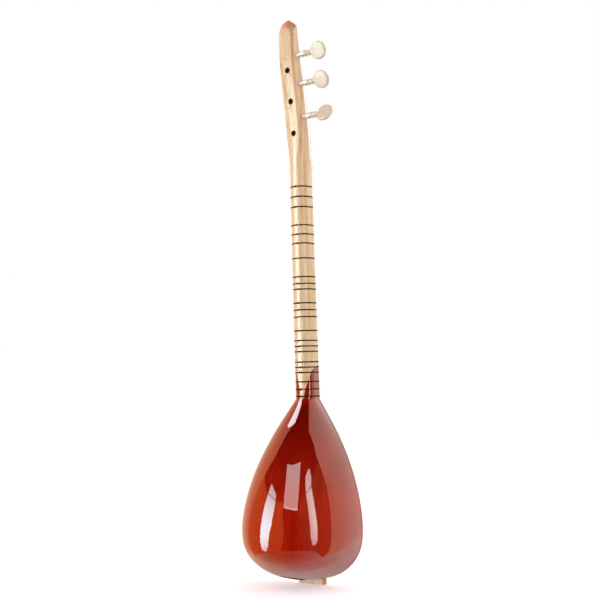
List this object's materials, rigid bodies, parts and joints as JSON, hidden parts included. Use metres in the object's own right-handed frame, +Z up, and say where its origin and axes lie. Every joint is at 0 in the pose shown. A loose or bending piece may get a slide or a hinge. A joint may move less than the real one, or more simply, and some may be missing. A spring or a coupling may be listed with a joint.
{
  "type": "cura saz",
  "caption": "Small long-necked lute with a carved pear-shaped bowl, tied frets, strings, a loose bridge and turning side pegs.",
  "frame": {"origin": "centre of the tail block's flat bottom face", "axes": "+Z up the instrument towards the head; -Y out of the soundboard, so the bowl bulges to +Y; -X is the side that the pegs stand out of"},
  "size_m": [0.1618, 0.1185, 0.7557],
  "materials": {
    "bowl_lacquer": "high-gloss deep red lacquer",
    "spruce": "satin",
    "neck_wood": "gloss varnish",
    "block_wood": "satin",
    "nut_bone": "satin",
    "bridge_wood": "satin",
    "peg_plastic": "gloss",
    "string_steel": "bright",
    "fret_nylon": "satin"
  },
  "bodies": {
    "instrument": {"bowl": "bowl_lacquer", "soundboard": "spruce", "soundboard_brace": "spruce", "neck": "neck_wood", "nut": "nut_bone", "tail_block": "block_wood", "string_1": "string_steel", "string_2": "string_steel", "string_3": "string_steel"},
    "bridge": {"bridge": "bridge_wood"},
    "peg_1": {"peg_1": "peg_plastic", "string_1_winding": "string_steel"},
    "peg_2": {"peg_2": "peg_plastic", "string_2_winding": "string_steel"},
    "peg_3": {"peg_3": "peg_plastic", "string_3_winding": "string_steel"},
    "fret_01_tie": {"fret_01": "fret_nylon"},
    "fret_02_tie": {"fret_02": "fret_nylon"},
    "fret_03_tie": {"fret_03": "fret_nylon"},
    "fret_04_tie": {"fret_04": "fret_nylon"},
    "fret_05_tie": {"fret_05": "fret_nylon"},
    "fret_06_tie": {"fret_06": "fret_nylon"},
    "fret_07_tie": {"fret_07": "fret_nylon"},
    "fret_08_tie": {"fret_08": "fret_nylon"},
    "fret_09_tie": {"fret_09": "fret_nylon"},
    "fret_10_tie": {"fret_10": "fret_nylon"},
    "fret_11_tie": {"fret_11": "fret_nylon"},
    "fret_12_tie": {"fret_12": "fret_nylon"},
    "fret_13_tie": {"fret_13": "fret_nylon"},
    "fret_14_tie": {"fret_14": "fret_nylon"},
    "fret_15_tie": {"fret_15": "fret_nylon"},
    "fret_16_tie": {"fret_16": "fret_nylon"},
    "fret_17_tie": {"fret_17": "fret_nylon"},
    "fret_18_tie": {"fret_18": "fret_nylon"},
    "fret_19_tie": {"fret_19": "fret_nylon"},
    "fret_20_tie": {"fret_20": "fret_nylon"},
    "fret_21_tie": {"fret_21": "fret_nylon"},
    "fret_22_tie": {"fret_22": "fret_nylon"},
    "fret_23_tie": {"fret_23": "fret_nylon"}
  },
  "joints": [
    {"name": "peg_1_turn", "type": "hinge", "parent": "instrument", "child": "peg_1", "pos_m": [0, 0.03729, 0.7048], "axis": [-1, 0, 0], "continuous": true},
    {"name": "peg_2_turn", "type": "hinge", "parent": "instrument", "child": "peg_2", "pos_m": [0, 0.03124, 0.6666], "axis": [-1, 0, 0], "continuous": true},
    {"name": "peg_3_turn", "type": "hinge", "parent": "instrument", "child": "peg_3", "pos_m": [0, 0.02445, 0.6227], "axis": [-1, 0, 0], "continuous": true},
    {"name": "bridge_slide", "type": "slide", "parent": "instrument", "child": "bridge", "axis": [0, 0, 1], "range_m": [-0.001, 0.001]},
    {"name": "fret_01_slide", "type": "slide", "parent": "instrument", "child": "fret_01_tie", "axis": [0, 0.0352, 0.9994], "range_m": [-0.002, 0.002]},
    {"name": "fret_02_slide", "type": "slide", "parent": "instrument", "child": "fret_02_tie", "axis": [0, 0.0352, 0.9994], "range_m": [-0.002, 0.002]},
    {"name": "fret_03_slide", "type": "slide", "parent": "instrument", "child": "fret_03_tie", "axis": [0, 0.0352, 0.9994], "range_m": [-0.002, 0.002]},
    {"name": "fret_04_slide", "type": "slide", "parent": "instrument", "child": "fret_04_tie", "axis": [0, 0.0352, 0.9994], "range_m": [-0.002, 0.002]},
    {"name": "fret_05_slide", "type": "slide", "parent": "instrument", "child": "fret_05_tie", "axis": [0, 0.0352, 0.9994], "range_m": [-0.002, 0.002]},
    {"name": "fret_06_slide", "type": "slide", "parent": "instrument", "child": "fret_06_tie", "axis": [0, 0.0352, 0.9994], "range_m": [-0.002, 0.002]},
    {"name": "fret_07_slide", "type": "slide", "parent": "instrument", "child": "fret_07_tie", "axis": [0, 0.0352, 0.9994], "range_m": [-0.002, 0.002]},
    {"name": "fret_08_slide", "type": "slide", "parent": "instrument", "child": "fret_08_tie", "axis": [0, 0.0352, 0.9994], "range_m": [-0.002, 0.002]},
    {"name": "fret_09_slide", "type": "slide", "parent": "instrument", "child": "fret_09_tie", "axis": [0, 0.0352, 0.9994], "range_m": [-0.002, 0.002]},
    {"name": "fret_10_slide", "type": "slide", "parent": "instrument", "child": "fret_10_tie", "axis": [0, 0.0352, 0.9994], "range_m": [-0.002, 0.002]},
    {"name": "fret_11_slide", "type": "slide", "parent": "instrument", "child": "fret_11_tie", "axis": [0, 0.0352, 0.9994], "range_m": [-0.002, 0.002]},
    {"name": "fret_12_slide", "type": "slide", "parent": "instrument", "child": "fret_12_tie", "axis": [0, 0.0352, 0.9994], "range_m": [-0.002, 0.002]},
    {"name": "fret_13_slide", "type": "slide", "parent": "instrument", "child": "fret_13_tie", "axis": [0, 0.0352, 0.9994], "range_m": [-0.002, 0.002]},
    {"name": "fret_14_slide", "type": "slide", "parent": "instrument", "child": "fret_14_tie", "axis": [0, 0.0352, 0.9994], "range_m": [-0.002, 0.002]},
    {"name": "fret_15_slide", "type": "slide", "parent": "instrument", "child": "fret_15_tie", "axis": [0, 0.0352, 0.9994], "range_m": [-0.002, 0.002]},
    {"name": "fret_16_slide", "type": "slide", "parent": "instrument", "child": "fret_16_tie", "axis": [0, 0.0352, 0.9994], "range_m": [-0.002, 0.002]},
    {"name": "fret_17_slide", "type": "slide", "parent": "instrument", "child": "fret_17_tie", "axis": [0, 0.0352, 0.9994], "range_m": [-0.002, 0.002]},
    {"name": "fret_18_slide", "type": "slide", "parent": "instrument", "child": "fret_18_tie", "axis": [0, 0.0352, 0.9994], "range_m": [-0.002, 0.002]},
    {"name": "fret_19_slide", "type": "slide", "parent": "instrument", "child": "fret_19_tie", "axis": [0, 0.0352, 0.9994], "range_m": [-0.002, 0.002]},
    {"name": "fret_20_slide", "type": "slide", "parent": "instrument", "child": "fret_20_tie", "axis": [0, 0.0352, 0.9994], "range_m": [-0.002, 0.002]},
    {"name": "fret_21_slide", "type": "slide", "parent": "instrument", "child": "fret_21_tie", "axis": [0, 0.0352, 0.9994], "range_m": [-0.002, 0.002]},
    {"name": "fret_22_slide", "type": "slide", "parent": "instrument", "child": "fret_22_tie", "axis": [0, 0.0352, 0.9994], "range_m": [-0.002, 0.002]},
    {"name": "fret_23_slide", "type": "slide", "parent": "instrument", "child": "fret_23_tie", "axis": [0, 0.0352, 0.9994], "range_m": [-0.001, 0.002]}
  ]
}
